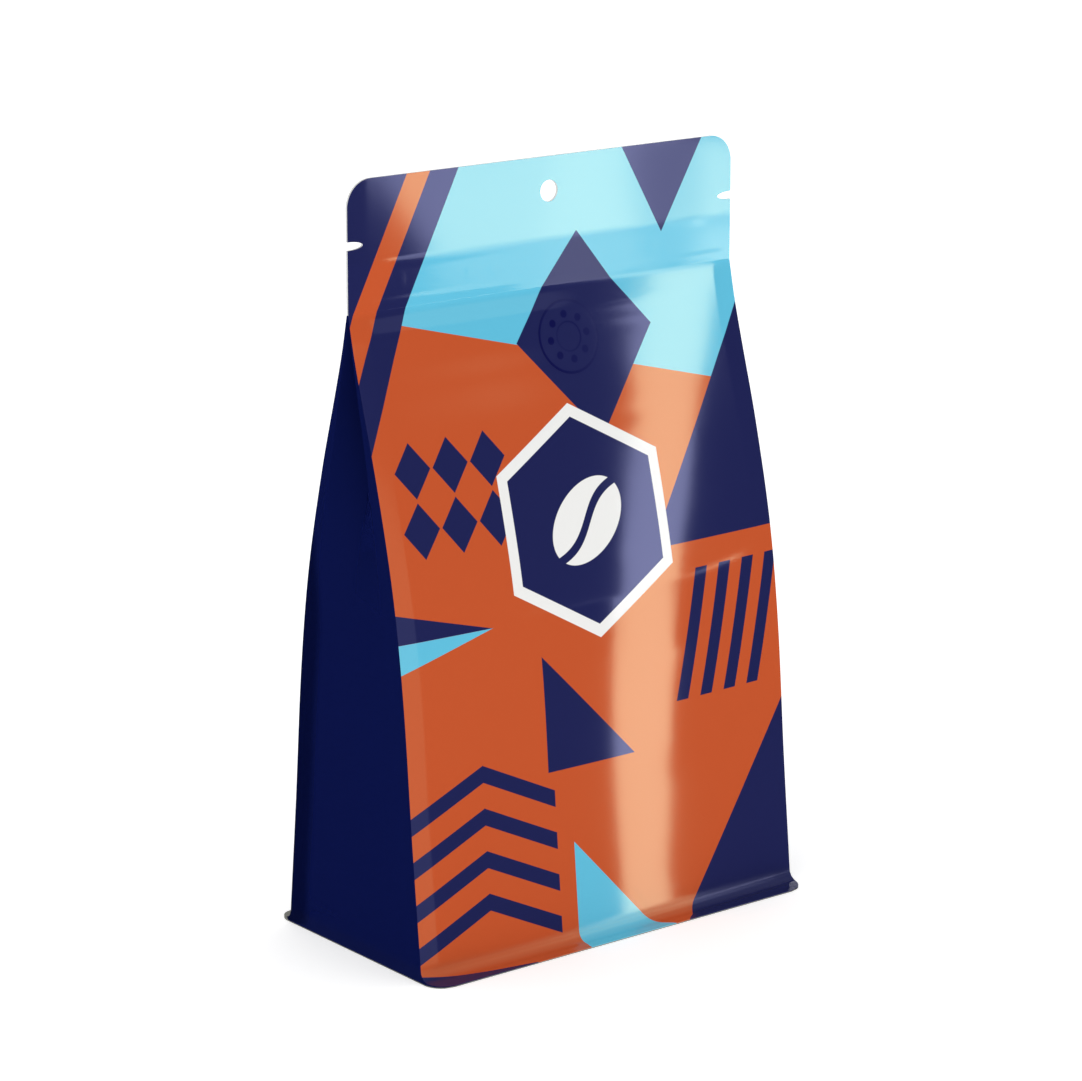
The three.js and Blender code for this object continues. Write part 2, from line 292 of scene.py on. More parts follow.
def film_levels():
    """(height, half depth) of each ring, from the floor to the top edge."""
    flange = np.linspace(0, 1, FLANGE_LEVELS)
    flange_root_depth = BODY_STATIONS[0][1] + FOOT_BEND_RADIUS
    bend = np.radians(np.linspace(0, 90, BEND_LEVELS))[1:]
    body = np.linspace(FOOT_BEND_TOP, BODY_TOP, BODY_LEVELS)[1:]
    zip_top = ZIP_RIDGES[1][0] + RIDGE_UPPER_FLANK + ZIP_MARGIN
    corner_start = HEIGHT - TOP_CORNER_RADIUS
    corner = np.radians(np.linspace(0, 90, TOP_CORNER_LEVELS))[1:]
    header = np.concatenate([
        np.arange(BODY_TOP + ZIP_LEVEL_SPACING, zip_top, ZIP_LEVEL_SPACING),
        np.linspace(zip_top + HEADER_FIRST_STEP, corner_start, HEADER_LEVELS),
        corner_start + TOP_CORNER_RADIUS * np.sin(corner),
    ])
    heights = np.concatenate([
        [0, BOTTOM_FILM],
        FLANGE_EDGE + (FLANGE_ROOT - FLANGE_EDGE) * flange,
        FOOT_BEND_TOP - FOOT_BEND_RADIUS * np.cos(bend),
        body,
        header,
    ])
    depths = np.concatenate([
        [BASE_HALF_DEPTH, BASE_HALF_DEPTH],
        BASE_HALF_DEPTH + (flange_root_depth - BASE_HALF_DEPTH) * flange,
        flange_root_depth - FOOT_BEND_RADIUS * np.sin(bend),
        edge_half_depth(body),
        edge_half_depth(header),
    ])
    return heights, depths


def panel_columns():
    """Places across a panel, close together along the sealed strips."""
    inside = HALF_WIDTH - FRONT_STRIP_WIDTH
    middle = np.linspace(-inside, inside, PANEL_COLUMNS)
    strip = np.linspace(inside, HALF_WIDTH, STRIP_COLUMNS)[1:]
    return np.concatenate([-strip[::-1], middle, strip])


def gusset_columns(half_depth):
    """Places across a gusset from crease to crease, without the creases themselves."""
    edge = half_depth - side_strip_width(half_depth)
    middle = np.linspace(-edge, edge, GUSSET_COLUMNS)
    strip = edge + (half_depth - edge) * np.linspace(0, 1, SIDE_STRIP_COLUMNS)[1:-1]
    return np.concatenate([-strip[::-1], middle, strip])


def ring(z, half_depth):
    """The outline at one level, anticlockwise from above, from the front left crease."""
    columns = panel_columns()
    width = corner_half_width(half_depth, z)
    squeeze = (width - SQUEEZED_FROM) / (HALF_WIDTH - SQUEEZED_FROM)
    outer = np.clip(np.abs(columns) - SQUEEZED_FROM, 0, None)
    x = np.sign(columns) * (np.minimum(np.abs(columns), SQUEEZED_FROM) + outer * squeeze)
    surface = half_depth + panel_rise(x, z) * (z > FLANGE_EDGE)
    y = gusset_columns(half_depth)
    side = corner_half_width(y, z) - gusset_inset(y, z, half_depth)
    front = np.column_stack([x, -surface])
    right = np.column_stack([side, y])
    rows = np.vstack([front, right, -front, -right])
    return np.column_stack([rows, np.full(len(rows), z)])


# ---- meshes ----


def mesh_piece(name, vertices, faces, materials, face_materials=None):
    """A mesh object at the origin from vertices in millimetres."""
    mesh = bpy.data.meshes.new(name)
    mesh.from_pydata((np.asarray(vertices) * MM).tolist(), [], faces)
    for material in materials:
        mesh.materials.append(material)
    if face_materials is not None:
        mesh.polygons.foreach_set("material_index", face_materials)
    mesh.validate()
    piece = bpy.data.objects.new(name, mesh)
    bpy.context.scene.collection.objects.link(piece)
    return piece


def disc_solid(radius, low, high, segments=72):
    """Vertices and faces of a disc about the z axis."""
    angles = np.arange(segments) * 2 * np.pi / segments
    circle = np.column_stack([radius * np.cos(angles), radius * np.sin(angles)])
    vertices = [[*point, z] for z in (low, high) for point in circle]
    faces = [list(range(segments))[::-1], list(range(segments, 2 * segments))]
    for i in range(segments):
        j = (i + 1) % segments
        faces.append([i, j, j + segments, i + segments])
    return np.array(vertices), faces


def stand_up(vertices, x, z):
    """Turns a form drawn about the z axis to face the front, at x and z."""
    turned = np.column_stack([vertices[:, 0], -vertices[:, 2], vertices[:, 1]])
    return turned + [x, 0, z]


def at_valve(vertices):
    """Puts a form drawn about the z axis on the front panel where the valve sits."""
    reach = VALVE_RADIUS * VALVE_LEAN_REACH
    low, high = VALVE_Z - reach, VALVE_Z + reach
    surface_low, surface_high = (edge_half_depth(z) + panel_rise(VALVE_X, z) for z in (low, high))
    lean = math.atan2(surface_low - surface_high, high - low)
    turn = Matrix.Rotation(math.pi / 2 - lean, 3, "X")
    place = np.array([VALVE_X, -(surface_low + surface_high) / 2, VALVE_Z])
    return np.asarray(vertices) @ np.array(turn).T + place


def notch_solid(side):
    """Half an ellipse that cuts into the header's edge, side is 1 or -1."""
    height, depth, half_opening = TEAR_NOTCH
    angles = np.linspace(0, np.pi, NOTCH_POINTS)
    outside = [HALF_WIDTH + 1]
    x = np.concatenate([outside, HALF_WIDTH - depth * np.sin(angles), outside])
    z = np.concatenate([[-half_opening], -half_opening * np.cos(angles), [half_opening]])
    count = len(x)
    reach = HEADER_CUT_REACH
    vertices = [[side * a, y, height + b] for y in (-reach, reach) for a, b in zip(x, z)]
    faces = [list(range(count)), list(range(count, 2 * count))[::-1]]
    for i in range(count):
        j = (i + 1) % count
        faces.append([j, i, i + count, j + count])
    if side > 0:
        faces = [face[::-1] for face in faces]
    return np.array(vertices), faces


def joined(forms):
    """Several forms, each of vertices and faces, as one."""
    vertices, faces, start = [], [], 0
    for form_vertices, form_faces in forms:
        vertices.append(form_vertices)
        faces += [[i + start for i in face] for face in form_faces]
        start += len(form_vertices)
    return np.vstack(vertices), faces


def cut_away(piece, forms, material):
    """Cuts closed forms out of a piece. The cut faces show the given material."""
    vertices, faces = joined(forms)
    tool = mesh_piece("cutting_form", vertices, faces, [material])
    cut = piece.modifiers.new("cut", "BOOLEAN")
    cut.object = tool
    cut.operation = "DIFFERENCE"
    cut.solver = "EXACT"
    cut.material_mode = "TRANSFER"
    bpy.context.view_layer.update()
    evaluated = piece.evaluated_get(bpy.context.evaluated_depsgraph_get())
    result = bpy.data.meshes.new_from_object(evaluated)
    piece.modifiers.remove(cut)
    piece.data = result
    bpy.data.objects.remove(tool)


# Painted shade darkens a gusset's back strip below, where it turns away from the light, and this
# shift takes it off the film above these heights.
PAINTED_BACK_SHADE_SHIFT = 14
PAINTED_BACK_SHADE_RUN_OUT = (90, 150)


def add_film_coordinates(piece):
    """Stores where each point lies on the film, for the print and the shades on it.

    `film` is (x, length up the flat film from the foot's edge, 1).
    `from_back` is how far a point of a gusset lies from its back crease.
    """
    heights, depths = film_levels()
    upper_heights, upper_depths = heights[2:], depths[2:]  # above the flange's outer edge
    steps = np.hypot(np.diff(upper_heights), np.diff(upper_depths))
    lengths = np.concatenate([[0], np.cumsum(steps)])
    mesh = piece.data
    points = np.empty(len(mesh.vertices) * 3)
    mesh.vertices.foreach_get("co", points)
    x, y, z = points.reshape(-1, 3).T / MM
    up = np.interp(z, upper_heights, lengths)
    film = mesh.attributes.new("film", "FLOAT_VECTOR", "POINT")
    film.data.foreach_set("vector", np.column_stack([x, up, np.ones_like(x)]).ravel())
    shift = PAINTED_BACK_SHADE_SHIFT * smoothstep(z, *PAINTED_BACK_SHADE_RUN_OUT)
    from_back = np.interp(z, heights, depths) - y + shift
    back = mesh.attributes.new("from_back", "FLOAT", "POINT")
    back.data.foreach_set("value", from_back.astype(np.float32))


def smooth_shade(piece, crease_angle):
    """Shades a piece smoothly, apart from edges sharper than an angle in degrees."""
    piece.data.shade_smooth()
    piece.data.set_sharp_from_angle(angle=math.radians(crease_angle))


# ---- materials ----

# The panels' navy is the gussets' ink made lighter by a painted sheen, the faint reflection of the
# room that the film's gloss doesn't mirror here.
NAVY_WITH_PAINTED_SHEEN = srgb("222656")
# the same navy ink without the painted sheen
GUSSET_NAVY = srgb("0B1344")
# colour of the painted shade in the valve's grooves and holes
PAINTED_GROOVE_SHADE_NAVY = srgb("10124A")
ORANGE = srgb("C95830")
SKY = srgb("64C4E3")
WHITE = srgb("F0F0EE")
INK_SPREAD = 0.14  # width over which one ink gives way to the next

# Fields of the print that run off the film end just past its edges.
PRINT_EDGE = HALF_WIDTH + 2
PRINT_FOOT = -2
PRINT_TOP = 240

# Polyester has an IOR of 1.6. The foil under the ink adds to what it mirrors.
FILM_IOR = 2.5
FILM_ROUGHNESS = (0.05, 0.062)
GLOSS_PATCH = 18.2  # size of the patches in which the roughness varies
GRAIN_SIZE = 0.4545  # coarser than the lacquer's own grain, which is too fine to show
GRAIN_HEIGHT = 0.006
GRAIN_STRENGTH = 0.25
HUE_GAMMA = 0.45  # how far the gloss takes the ink's hue, 0 for not at all and 1 for all of it
DULLER_ZONES = [  # lengths up the film where it begins and is full, roughness added
    (11.5, 8.5, 0.2),  # the strained film of the foot's bend
    (191, 201, 0.012),  # the header
]
ZIP_MIDDLE = 202.3  # length up the film
ZIP_DULL_REACH = (5.9, 8.8)  # how far from there the film is fully dull, and where its lustre is back
ZIP_LUSTRE = 0.3  # share of the lustre that the crushed film keeps

CLOUD_SIZE = 55.6  # broad, faint unevenness of a gusset's ink
CLOUD_LIFT = 1.12
# painted shade: how dark a gusset's back strip is made, as a share of its ink
PAINTED_BACK_SHADE = 0.56
PAINTED_BACK_SHADE_EDGE = (-3, 2)  # from the strip's width, where the painted back shade begins to fade and is gone
STREAK_SIZE = 1.11  # marks that the slitting knife leaves
RUB_SIZE = 8.33  # rubbed patches of the base

FIRST, SECOND, MIXED = 6, 7, 2  # the places of a colour Mix node's two inputs and its output


def scale_of(size):
    """Scale of a noise texture whose marks are `size` millimetres across."""
    return 1 / (size * MM)


def add(tree, kind, inputs=None, output=0, **settings):
    """Adds a node with its settings and links and returns one of its outputs, if it has any."""
    made = tree.nodes.new(kind)
    for name, value in settings.items():
        setattr(made, name, value)
    for name, value in (inputs or {}).items():
        if isinstance(value, bpy.types.NodeSocket):
            tree.links.new(value, made.inputs[name])
        else:
            made.inputs[name].default_value = value
    return made.outputs[output] if made.outputs else None


def new_material(name):
    """A new material and its node tree, which is empty."""
    material = bpy.data.materials.new(name)
    material.use_nodes = True
    material.node_tree.nodes.clear()
    return material, material.node_tree


def side_of(tree, film, a, b):
    """Distance from the line through a and b, positive on its left."""
    along = Vector(b) - Vector(a)
    normal = Vector((-along.y, along.x)).normalized()
    line = (normal.x, normal.y, -normal.dot(Vector(a)))
    return add(tree, "ShaderNodeVectorMath", {0: film, 1: line}, 1, operation="DOT_PRODUCT")


def lowest(tree, values):
    """The lowest of several values."""
    result = values[0]
    for value in values[1:]:
        result = add(tree, "ShaderNodeMath", {0: result, 1: value}, operation="MINIMUM")
    return result


def polygon(tree, film, *corners):
    """Distance inside a convex outline whose corners run anticlockwise."""
    sides = zip(corners, corners[1:] + corners[:1])
    return lowest(tree, [side_of(tree, film, a, b) for a, b in sides])


def regular(count, centre, radius, turn):
    """Corners of a regular outline, anticlockwise."""
    x, y = centre
    angles = [math.radians(turn) + 2 * math.pi * i / count for i in range(count)]
    return [(x + radius * math.cos(a), y + radius * math.sin(a)) for a in angles]


def rhombs(tree, film, centre, width, height):
    """Distance inside rhombs that all but touch at their corners, one of them at the centre."""
    reach = 0.47  # at 0.5 they would touch
    x = (1 / width, 0, -centre[0] / width)
    y = (0, 1 / height, -centre[1] / height)
    away = []
    for line in (x, y):
        turns = add(tree, "ShaderNodeVectorMath", {0: film, 1: line}, 1, operation="DOT_PRODUCT")
        away.append(add(tree, "ShaderNodeMath", {0: turns, 1: 0.5}, operation="PINGPONG"))
    both = add(tree, "ShaderNodeMath", {0: away[0], 1: away[1]}, operation="ADD")
    scale = width * height / math.hypot(width, height)
    inside = {0: both, 1: -scale, 2: scale * reach}
    return add(tree, "ShaderNodeMath", inside, operation="MULTIPLY_ADD")


def bean_mark(tree, film, centre, half_length, half_width, turn):
    """Distance inside a plain bean: an oval with a curved slit along it."""
    slit_wave, slit_swing, slit_half_width = 2.6, 0.22, 1.3
    c, s = math.cos(math.radians(turn)), math.sin(math.radians(turn))
    x, y = centre
    along = (c / half_length, s / half_length, -(x * c + y * s) / half_length)
    across = (-s / half_width, c / half_width, (x * s - y * c) / half_width)
    u, v = (
        add(tree, "ShaderNodeVectorMath", {0: film, 1: line}, 1, operation="DOT_PRODUCT")
        for line in (along, across)
    )
    place = add(tree, "ShaderNodeCombineXYZ", {0: u, 1: v})
    reach = add(tree, "ShaderNodeVectorMath", {0: place}, 1, operation="LENGTH")
    oval = {0: reach, 1: -half_width, 2: half_width}
    oval = add(tree, "ShaderNodeMath", oval, operation="MULTIPLY_ADD")
    swing = add(tree, "ShaderNodeMath", {0: u, 1: slit_wave}, operation="MULTIPLY")
    swing = add(tree, "ShaderNodeMath", {0: swing}, operation="SINE")
    off_slit = {0: swing, 1: -slit_swing, 2: v}
    off_slit = add(tree, "ShaderNodeMath", off_slit, operation="MULTIPLY_ADD")
    off_slit = add(tree, "ShaderNodeMath", {0: off_slit}, operation="ABSOLUTE")
    slit = {0: off_slit, 1: half_width, 2: -slit_half_width}
    slit = add(tree, "ShaderNodeMath", slit, operation="MULTIPLY_ADD")
    return lowest(tree, [oval, slit])


def paint(tree, under, ink, inside):
    """Lays ink over a colour where the distance `inside` is positive."""
    cover = add(
        tree, "ShaderNodeMath", {0: inside, 1: 1 / INK_SPREAD, 2: 0.5},
        operation="MULTIPLY_ADD", use_clamp=True,
    )
    return add(
        tree, "ShaderNodeMix", {0: cover, FIRST: under, SECOND: ink}, MIXED,
        data_type="RGBA", clamp_factor=True,
    )


def paint_fields(tree, film, colour, fields):
    """Lays fields over a colour, each an ink and the corners of its convex outline."""
    for ink, *corners in fields:
        colour = paint(tree, colour, ink, polygon(tree, film, *corners))
    return colour


def front_print(tree, film):
    """The front panel's print: fields of three inks in triangles, bars and rhombs round a hexagon."""
    edge, foot, top = PRINT_EDGE, PRINT_FOOT, PRINT_TOP
    colour = paint(tree, ORANGE, SKY, side_of(tree, film, (-edge, 196), (edge, 158)))
    # the upper left corner and the stripe in it
    colour = paint(tree, colour, NAVY_WITH_PAINTED_SHEEN, side_of(tree, film, (-72, 152), (-28, top)))
    stripe = [
        side_of(tree, film, (-82, 152), (-38, top)),
        side_of(tree, film, (-46, top), (-90, 152)),
    ]
    colour = paint(tree, colour, ORANGE, lowest(tree, stripe))
    colour = paint_fields(tree, film, colour, [
        (NAVY_WITH_PAINTED_SHEEN, (43, 207), (62, top), (24, top)),  # a wedge at the top edge
        (NAVY_WITH_PAINTED_SHEEN, (11, 151), (36, 181), (11, 211), (-14, 181)),  # a diamond round the valve
        (NAVY_WITH_PAINTED_SHEEN, (22, 116), (edge, 116), (edge, 186)),  # a sail on the right
        (NAVY_WITH_PAINTED_SHEEN, (22, foot), (edge, foot), (edge, 66)),  # and one below it
    ])
    # slanted bars under the right sail
    spacing, width, slant = 9.4, 4.6, 11
    for i in range(4):
        left = 27 + spacing * i
        right = left + width
        bar = (NAVY_WITH_PAINTED_SHEEN, (left, 70), (right, 70), (right + slant, 108), (left + slant, 108))
        colour = paint_fields(tree, film, colour, [bar])
    # rhombs left of the hexagon
    block = polygon(tree, film, (-64, 125), (-25, 125), (-25, 159), (-64, 159))
    lattice = rhombs(tree, film, (-44.5, 133.5), 13, 17)
    colour = paint(tree, colour, NAVY_WITH_PAINTED_SHEEN, lowest(tree, [block, lattice]))
    # chevrons at the lower left, whose arms overlap at the peak
    spacing, band, lift, peak, tip, overlap = 12.5, 5, 12, -45, -20, 0.2
    for i in range(4):
        low = 10 + spacing * i
        high = low + lift
        past = peak + overlap
        colour = paint_fields(tree, film, colour, [
            (NAVY_WITH_PAINTED_SHEEN, (-edge, low), (past, high), (past, high + band), (-edge, low + band)),
            (NAVY_WITH_PAINTED_SHEEN, (peak, high), (tip, low), (tip, low + band), (peak, high + band)),
        ])
    colour = paint_fields(tree, film, colour, [
        (NAVY_WITH_PAINTED_SHEEN, (-edge, foot), (-24, foot), (-edge, 8)),  # a wedge in the lower left corner
        (SKY, (-14, foot), (20, foot), (-14, 36)),  # a sky one beside the chevrons
        (NAVY_WITH_PAINTED_SHEEN, (-22, 58), (10, 58), (-22, 92)),  # a triangle above it
        (NAVY_WITH_PAINTED_SHEEN, (-edge, 112), (-edge, 103), (-38, 103)),  # a pair of wedges at the left edge
        (SKY, (-edge, 103), (-edge, 94), (-38, 103)),
    ])
    # the hexagon with its white edge and a plain bean
    middle, white_edge = (0, 128), 3.4
    hexagon = polygon(tree, film, *regular(6, middle, 34, 30))
    colour = paint(tree, colour, WHITE, hexagon)
    inner = add(tree, "ShaderNodeMath", {0: hexagon, 1: white_edge}, operation="SUBTRACT")
    colour = paint(tree, colour, NAVY_WITH_PAINTED_SHEEN, inner)
    return paint(tree, colour, WHITE, bean_mark(tree, film, middle, 15, 10, 38))


def back_print(tree, film):
    """The back panel's print: the same inks in larger, calmer fields."""
    edge, foot, top = PRINT_EDGE, PRINT_FOOT, PRINT_TOP
    colour = paint(tree, ORANGE, SKY, side_of(tree, film, (-edge, 196), (edge, 168)))
    return paint_fields(tree, film, colour, [
        (NAVY_WITH_PAINTED_SHEEN, (-30, 182), (4, top), (-64, top)),
        (NAVY_WITH_PAINTED_SHEEN, (-edge, foot), (40, foot), (-edge, 84)),
        (SKY, (46, foot), (edge, foot), (edge, 30)),
        (NAVY_WITH_PAINTED_SHEEN, (-52, 92), (52, 92), (52, 156), (-52, 156)),
    ])


def film_surface(tree, colour):
    """The film's satin skin.

    It has a faint grain. Its gloss takes the ink's hue and adds least to pale inks.
    """
    place = add(tree, "ShaderNodeTexCoord", output="Object")
    grain = {"Vector": place, "Scale": scale_of(GRAIN_SIZE), "Detail": 2}
    grain = add(tree, "ShaderNodeTexNoise", grain, "Fac")
    gloss = {"Vector": place, "Scale": scale_of(GLOSS_PATCH), "Detail": 3}
    gloss = add(tree, "ShaderNodeTexNoise", gloss, "Fac")
    smoothest, roughest = FILM_ROUGHNESS
    roughness = {"Value": gloss, "To Min": smoothest, "To Max": roughest}
    roughness = add(tree, "ShaderNodeMapRange", roughness, "Result")
    film = add(tree, "ShaderNodeAttribute", output="Vector", attribute_name="film")
    up = add(tree, "ShaderNodeSeparateXYZ", {"Vector": film}, "Y")
    for start, full, rise in DULLER_ZONES:
        duller = add(tree, "ShaderNodeMapRange", {
            "Value": up, "From Min": start, "From Max": full, "To Min": 0, "To Max": rise,
        }, "Result", interpolation_type="SMOOTHSTEP")
        roughness = add(tree, "ShaderNodeMath", {0: roughness, 1: duller}, operation="ADD")
    off_zip = add(tree, "ShaderNodeMath", {0: up, 1: ZIP_MIDDLE}, operation="SUBTRACT")
    off_zip = add(tree, "ShaderNodeMath", {0: off_zip}, operation="ABSOLUTE")
    dull, bright = ZIP_DULL_REACH
    lustre = add(tree, "ShaderNodeMapRange", {
        "Value": off_zip, "From Min": dull, "From Max": bright, "To Min": ZIP_LUSTRE, "To Max": 1,
    }, "Result", interpolation_type="SMOOTHSTEP")
    relief = add(tree, "ShaderNodeBump", {
        "Height": grain, "Strength": GRAIN_STRENGTH, "Distance": GRAIN_HEIGHT * MM,
    })
    hue = add(tree, "ShaderNodeGamma", {"Color": colour, "Gamma": HUE_GAMMA})
    headroom = add(tree, "ShaderNodeVectorMath", {0: (1, 1, 1), 1: colour}, operation="SUBTRACT")
    tint = add(tree, "ShaderNodeVectorMath", {0: hue, 1: headroom}, operation="MULTIPLY")
    tint = add(tree, "ShaderNodeVectorMath", {0: tint, "Scale": lustre}, operation="SCALE")
    shader = add(tree, "ShaderNodeBsdfPrincipled", {
        "Base Color": colour,
        "Roughness": roughness,
        "IOR": FILM_IOR,
        "Specular Tint": tint,
        "Normal": relief,
    })
    add(tree, "ShaderNodeOutputMaterial", {"Surface": shader})


def printed_film(name, print_of):
    """Matt-lacquered PET over foil: reads as satin print whose highlights keep the ink's hue."""
    material, tree = new_material(name)
    film = add(tree, "ShaderNodeAttribute", output="Vector", attribute_name="film")
    film_surface(tree, print_of(tree, film))
    return material


def plain_film(name, colour):
    """The same film in one flat ink: reads as a deep, even side panel, with painted shade along its
    back strip.
    """
    material, tree = new_material(name)
    place = add(tree, "ShaderNodeTexCoord", output="Object")
    cloud = {"Vector": place, "Scale": scale_of(CLOUD_SIZE), "Detail": 2}
    cloud = add(tree, "ShaderNodeTexNoise", cloud, "Fac")
    shade = {0: cloud, FIRST: colour, SECOND: times(colour, CLOUD_LIFT)}
    shade = add(tree, "ShaderNodeMix", shade, MIXED, data_type="RGBA")
    from_back = add(tree, "ShaderNodeAttribute", output="Fac", attribute_name="from_back")
    start, end = (SIDE_STRIP_WIDTH + step for step in PAINTED_BACK_SHADE_EDGE)
    # painted shade along the back strip, where it turns away from the light
    painted_back_shade_mask = add(tree, "ShaderNodeMapRange", {
        "Value": from_back, "From Min": start, "From Max": end, "To Min": 1, "To Max": 0,
    }, "Result", interpolation_type="SMOOTHSTEP")
    shade = {0: painted_back_shade_mask, FIRST: shade, SECOND: times(colour, PAINTED_BACK_SHADE)}
    shade = add(tree, "ShaderNodeMix", shade, MIXED, data_type="RGBA")
    film_surface(tree, shade)
    return material


def cut_edge_film():
    """Slit edge of the laminate: its milky polythene core, seen as a thin pale line."""
    material, tree = new_material("laminate_cut_edge")
    place = add(tree, "ShaderNodeTexCoord", output="Object")
    streak = {"Vector": place, "Scale": scale_of(STREAK_SIZE), "Detail": 1}
    streak = add(tree, "ShaderNodeTexNoise", streak, "Fac")
    colour = {0: streak, FIRST: srgb("C9CACC"), SECOND: srgb("E9E9E7")}
    colour = add(tree, "ShaderNodeMix", colour, MIXED, data_type="RGBA")
    shader = add(tree, "ShaderNodeBsdfPrincipled", {"Base Color": colour, "Roughness": 0.55})
    add(tree, "ShaderNodeOutputMaterial", {"Surface": shader})
    return material


def foil_film():
    """Unprinted back of the base laminate: dull silver foil under clear film."""
    material, tree = new_material("foil_backed_base_film")
    place = add(tree, "ShaderNodeTexCoord", output="Object")
    rub = {"Vector": place, "Scale": scale_of(RUB_SIZE), "Detail": 4}
    rub = add(tree, "ShaderNodeTexNoise", rub, "Fac")
    roughness = {"Value": rub, "To Min": 0.4, "To Max": 0.6}
    roughness = add(tree, "ShaderNodeMapRange", roughness, "Result")
    shader = add(tree, "ShaderNodeBsdfPrincipled", {
        "Base Color": srgb("9A9A93"), "Metallic": 0.3, "Roughness": roughness,
    })
    add(tree, "ShaderNodeOutputMaterial", {"Surface": shader})
    return material


def valve_print_with_painted_shade(name):
    """Print carried over the valve, with painted navy shade in its pierced holes and grooves."""
    material, tree = new_material(name)
    film = add(tree, "ShaderNodeAttribute", output="Vector", attribute_name="film")
    # the painted shade of the valve's grooves and holes, 0 to 1
    depth = add(tree, "ShaderNodeAttribute", output="Fac", attribute_name="painted_groove_shade")
    colour = {0: depth, FIRST: front_print(tree, film), SECOND: PAINTED_GROOVE_SHADE_NAVY}
    colour = add(tree, "ShaderNodeMix", colour, MIXED, data_type="RGBA", clamp_factor=True)
    film_surface(tree, colour)
    return material


# ---- pieces ----

FRONT, BACK, GUSSET, BASE, EDGE = range(5)  # the places of the pouch's materials


def walls(heights, rings):
    """Faces between the rings, and the material each one shows."""
    count = len(rings[0])
    columns = len(panel_columns())
    sides = (count - 2 * columns) // 2
    panels = [FRONT] * (columns - 1) + [GUSSET] * (sides + 1)
    panels += [BACK] * (columns - 1) + [GUSSET] * (sides + 1)
    faces, kinds = [], []
    for level in range(len(rings) - 1):
        low, high = level * count, (level + 1) * count
        for i in range(count):
            j = (i + 1) % count
            faces.append([low + i, low + j, high + j, high + i])
            x, y, z = rings[level + 1][i]
            on_foil = z < FOIL_TOP and y > FOIL_CORNER[1] and abs(x) > FOIL_CORNER[0]
            kind = panels[i]
            if level == 0 or on_foil:
                kind = BASE
            elif kind == GUSSET and heights[level] >= BODY_TOP:
                kind = EDGE
            kinds.append(kind)
    return faces, kinds


def base(floor_ring, start):
    """Vertices, numbered from start, and faces of the base: a welded frame, drawn up inside it."""
    vertices, faces = [], []
    rim = list(range(len(floor_ring)))
    for inset, z in ((BASE_SEAL_WIDTH, 0), (BASE_SEAL_WIDTH + BASE_RECESS_RUN, BASE_RECESS)):
        shrink_x = (HALF_WIDTH - inset) / HALF_WIDTH
        shrink_y = (BASE_HALF_DEPTH - inset) / BASE_HALF_DEPTH
        inner = [start + len(vertices) + i for i in range(len(rim))]
        vertices += [[x * shrink_x, y * shrink_y, z] for x, y, _ in floor_ring]
        for i in range(len(rim)):
            j = (i + 1) % len(rim)
            faces.append([rim[j], rim[i], inner[i], inner[j]])
        rim = inner
    faces.append(rim[::-1])
    return vertices, faces


def make_pouch():
    """The filled pouch: four panels, foot, header and base as one closed film body."""
    heights, depths = film_levels()
    rings = [ring(z, depth) for z, depth in zip(heights, depths)]
    count = len(rings[0])
    wall_faces, wall_kinds = walls(heights, rings)
    top_edge = list(range(len(rings) * count - count, len(rings) * count))
    base_vertices, base_faces = base(rings[0], len(rings) * count)
    vertices = np.vstack(rings + [base_vertices])
    faces = wall_faces + [top_edge] + base_faces
    kinds = wall_kinds + [EDGE] + [BASE] * len(base_faces)
    materials = [
        printed_film("front_panel_satin_print", front_print),
        printed_film("back_panel_satin_print", back_print),
        plain_film("gusset_navy_satin_film", GUSSET_NAVY),
        foil_film(),
        cut_edge_film(),
    ]
    pouch = mesh_piece("pouch_film", vertices, faces, materials, kinds)
    hole_x, hole_z, hole_radius = HANG_HOLE
    hole, hole_faces = disc_solid(hole_radius, -HEADER_CUT_REACH, HEADER_CUT_REACH)
    punched = [(stand_up(hole, hole_x, hole_z), hole_faces), notch_solid(-1), notch_solid(1)]
    cut_away(pouch, punched, materials[EDGE])
    pocket, pocket_faces = disc_solid(
        VALVE_RADIUS + VALVE_GAP, -VALVE_POCKET_DEPTH, VALVE_POCKET_REACH, POCKET_SEGMENTS
    )
    cut_away(pouch, [(at_valve(pocket), pocket_faces)], materials[GUSSET])
    add_film_coordinates(pouch)
    smooth_shade(pouch, crease_angle=32)
    return pouch


def groove_shade(angle, shade):
    """Strength of a groove's painted shade at an angle round it."""
    strength, deepest, opposite = shade
    towards = 0.5 + 0.5 * np.cos(angle - math.radians(deepest))
    return strength * (opposite + (1 - opposite) * towards)


def valve_marks(x, y):
    """Painted shade of the grooves and pierced holes that show through the film, 0 to 1, deepest on
    one side as if lit from the other.
    """
    r, a = np.hypot(x, y), np.arctan2(y, x)
    share, half_width = VALVE_RING
    marks = bump(r, VALVE_RADIUS * share, half_width) * groove_shade(a, RING_SHADE)
    rim_start = VALVE_RADIUS + VALVE_GAP + VALVE_LIP[0] - VALVE_RIM_LINE
    rim = smoothstep(r, rim_start, rim_start + VALVE_RIM_RUN)
    marks = np.maximum(marks, rim * groove_shade(a, RIM_SHADE))
    circle = VALVE_RADIUS * VALVE_HOLE_CIRCLE
    inside, outside = VALVE_HOLE_EDGE
    for i in range(VALVE_HOLES):
        angle = 2 * np.pi * i / VALVE_HOLES + VALVE_TURN
        away = np.hypot(x - circle * np.cos(angle), y - circle * np.sin(angle))
        hole = 1 - smoothstep(away, VALVE_HOLE_RADIUS - inside, VALVE_HOLE_RADIUS + outside)
        marks = np.maximum(marks, hole * groove_shade(angle, HOLE_SHADE))
    return marks


